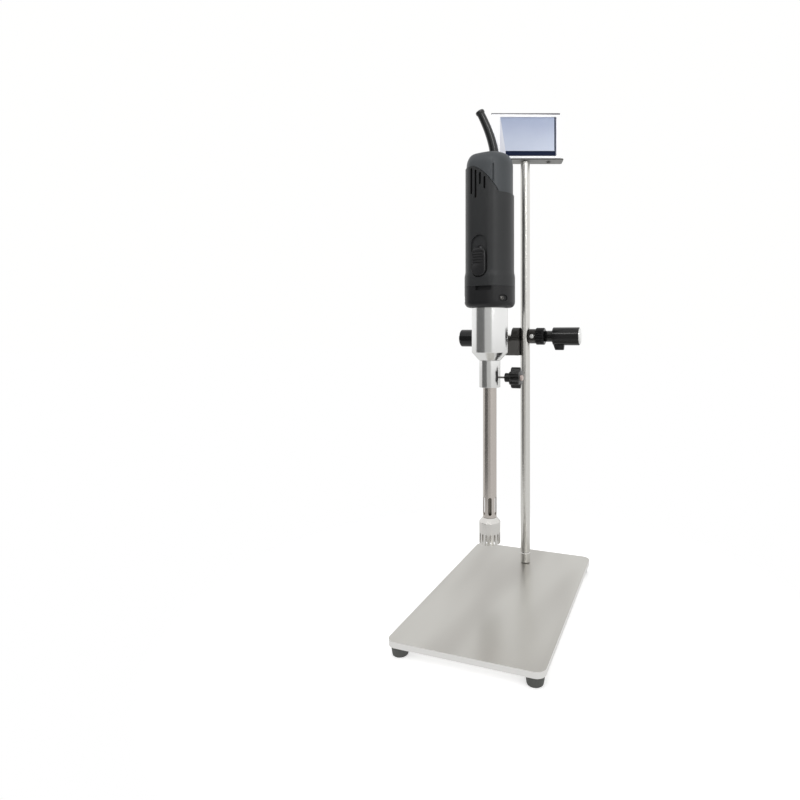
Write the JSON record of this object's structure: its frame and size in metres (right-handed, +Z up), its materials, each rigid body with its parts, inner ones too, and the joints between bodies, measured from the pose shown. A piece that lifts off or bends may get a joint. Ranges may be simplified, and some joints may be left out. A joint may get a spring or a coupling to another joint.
{
  "type": "rotor stator homogenizer",
  "caption": "Bench homogenizer: motor with toothed stator head held by a clamp arm on a column over a steel plate, with a display on top.",
  "frame": {"origin": "centre of the assembly's bounding box at the underside of the feet", "axes": "+Z up along the column, +X to the column clamp's side, -Y to the front where the tool hangs"},
  "size_m": [0.1918, 0.31, 0.6849],
  "materials": {
    "arm_clamp_cap": "bright metal cap",
    "arm_clamp_grip": "black moulded plastic, satin gloss",
    "arm_clamp_lock_ring": "black moulded plastic, knurled",
    "arm_clamp_screw": "bright steel",
    "arm_rod": "polished stainless steel",
    "armature": "laminated iron",
    "base_plate": "brushed stainless steel, satin",
    "boss_head": "black enamelled casting, satin",
    "brush_left": "carbon",
    "brush_right": "carbon",
    "column": "polished stainless steel",
    "column_bolt": "bright steel",
    "column_clamp_cap": "bright metal cap",
    "column_clamp_grip": "black moulded plastic, satin gloss",
    "column_clamp_lock_ring": "black moulded plastic, knurled",
    "column_clamp_screw": "bright steel",
    "column_socket": "polished stainless steel",
    "commutator": "copper bars",
    "cooling_fan": "black moulded plastic",
    "cord_boot": "black soft rubber, semi-gloss",
    "display_bezel": "white moulded plastic, satin gloss",
    "display_board": "green circuit board",
    "display_case": "white moulded plastic, satin gloss",
    "display_gland": "black moulded plastic",
    "display_screw_left": "bright steel",
    "display_screw_right": "bright steel",
    "display_tray": "grey powder coat, satin",
    "display_window": "clear window over a pale blue screen, gloss",
    "drive_shaft": "ground stainless shaft",
    "field_core": "laminated iron",
    "foot_front_left": "dark grey rubber",
    "foot_front_right": "dark grey rubber",
    "foot_rear_left": "dark grey rubber",
    "foot_rear_right": "dark grey rubber",
    "foot_screw_front_left": "bright steel",
    "foot_screw_front_right": "bright steel",
    "foot_screw_rear_left": "bright steel",
    "foot_screw_rear_right": "bright steel",
    "front_bearing": "bearing steel",
    "jaw_screw": "bright steel",
    "lower_bush": "white bearing plastic",
    "motor_body": "dark grey moulded plastic, fine grain",
    "motor_cap": "grey moulded plastic, satin",
    "motor_nose": "near-black moulded plastic, fine grain",
    "motor_shaft": "ground steel shaft",
    "motor_sleeve": "polished metal sleeve",
    "nose_screw_left": "bright steel",
    "nose_screw_right": "bright steel",
    "outer_tube": "bright drawn stainless tube",
    "rear_bearing": "bearing steel",
    "rotor": "turned stainless steel",
    "shaft_coupling": "blackened metal",
    "star_cap": "pale pinkish plastic",
    "star_knob": "black moulded plastic",
    "star_screw": "bright steel",
    "stator_head": "turned stainless steel",
    "switch_slider": "black moulded plastic",
    "tool_collar": "polished metal collar",
    "tray_screw": "bright steel",
    "upper_bush": "white bearing plastic"
  },
  "bodies": {
    "stand": {"base_plate": "base_plate", "foot_front_left": "foot_front_left", "foot_front_right": "foot_front_right", "foot_rear_left": "foot_rear_left", "foot_rear_right": "foot_rear_right", "foot_screw_front_left": "foot_screw_front_left", "foot_screw_front_right": "foot_screw_front_right", "foot_screw_rear_left": "foot_screw_rear_left", "foot_screw_rear_right": "foot_screw_rear_right", "column": "column", "column_socket": "column_socket", "column_bolt": "column_bolt", "tray_screw": "tray_screw"},
    "display": {"display_tray": "display_tray", "display_bezel": "display_bezel", "display_window": "display_window", "display_case": "display_case", "display_board": "display_board", "display_gland": "display_gland", "display_screw_left": "display_screw_left", "display_screw_right": "display_screw_right"},
    "clamp_head": {"boss_head": "boss_head", "jaw_screw": "jaw_screw"},
    "column_clamp": {"column_clamp_screw": "column_clamp_screw", "column_clamp_lock_ring": "column_clamp_lock_ring", "column_clamp_grip": "column_clamp_grip", "column_clamp_cap": "column_clamp_cap"},
    "arm_clamp": {"arm_clamp_screw": "arm_clamp_screw", "arm_clamp_lock_ring": "arm_clamp_lock_ring", "arm_clamp_grip": "arm_clamp_grip", "arm_clamp_cap": "arm_clamp_cap"},
    "tool": {"arm_rod": "arm_rod", "motor_sleeve": "motor_sleeve", "tool_collar": "tool_collar", "outer_tube": "outer_tube", "stator_head": "stator_head", "lower_bush": "lower_bush", "upper_bush": "upper_bush", "motor_body": "motor_body", "motor_cap": "motor_cap", "motor_nose": "motor_nose", "cord_boot": "cord_boot", "nose_screw_left": "nose_screw_left", "nose_screw_right": "nose_screw_right", "field_core": "field_core", "brush_left": "brush_left", "brush_right": "brush_right", "front_bearing": "front_bearing", "rear_bearing": "rear_bearing"},
    "star": {"star_screw": "star_screw", "star_knob": "star_knob", "star_cap": "star_cap"},
    "switch": {"switch_slider": "switch_slider"},
    "drive": {"drive_shaft": "drive_shaft", "rotor": "rotor", "shaft_coupling": "shaft_coupling", "motor_shaft": "motor_shaft", "armature": "armature", "commutator": "commutator", "cooling_fan": "cooling_fan"}
  },
  "joints": [
    {"name": "head_slide", "type": "slide", "parent": "stand", "child": "clamp_head", "axis": [0, 0, 1], "range_m": [-0.045, 0.12]},
    {"name": "arm_tilt", "type": "hinge", "parent": "clamp_head", "child": "tool", "pos_m": [-0.01885, 0.105, 0.353], "axis": [0, 1, 0], "range_deg": [-45, 45]},
    {"name": "display_swivel", "type": "hinge", "parent": "stand", "child": "display", "pos_m": [0.00725, 0.105, 0.6174], "axis": [0, 0, 1], "range_deg": [-65, 25]},
    {"name": "column_clamp_turn", "type": "hinge", "parent": "clamp_head", "child": "column_clamp", "pos_m": [0.02425, 0.105, 0.356], "axis": [1, 0, 0], "range_deg": [0, 360]},
    {"name": "arm_clamp_turn", "type": "hinge", "parent": "clamp_head", "child": "arm_clamp", "pos_m": [-0.03015, 0.105, 0.353], "axis": [-1, 0, 0], "range_deg": [0, 360]},
    {"name": "star_turn", "type": "hinge", "parent": "tool", "child": "star", "pos_m": [-0.00455, 0.016, 0.3006], "axis": [1, 0, 0], "range_deg": [0, 360]},
    {"name": "switch_slide", "type": "slide", "parent": "tool", "child": "switch", "axis": [0, 0, 1], "range_m": [0, 0.012]},
    {"name": "rotor_spin", "type": "hinge", "parent": "tool", "child": "drive", "pos_m": [-0.01885, 0.016, 0.0762], "axis": [0, 0, 1], "continuous": true}
  ]
}
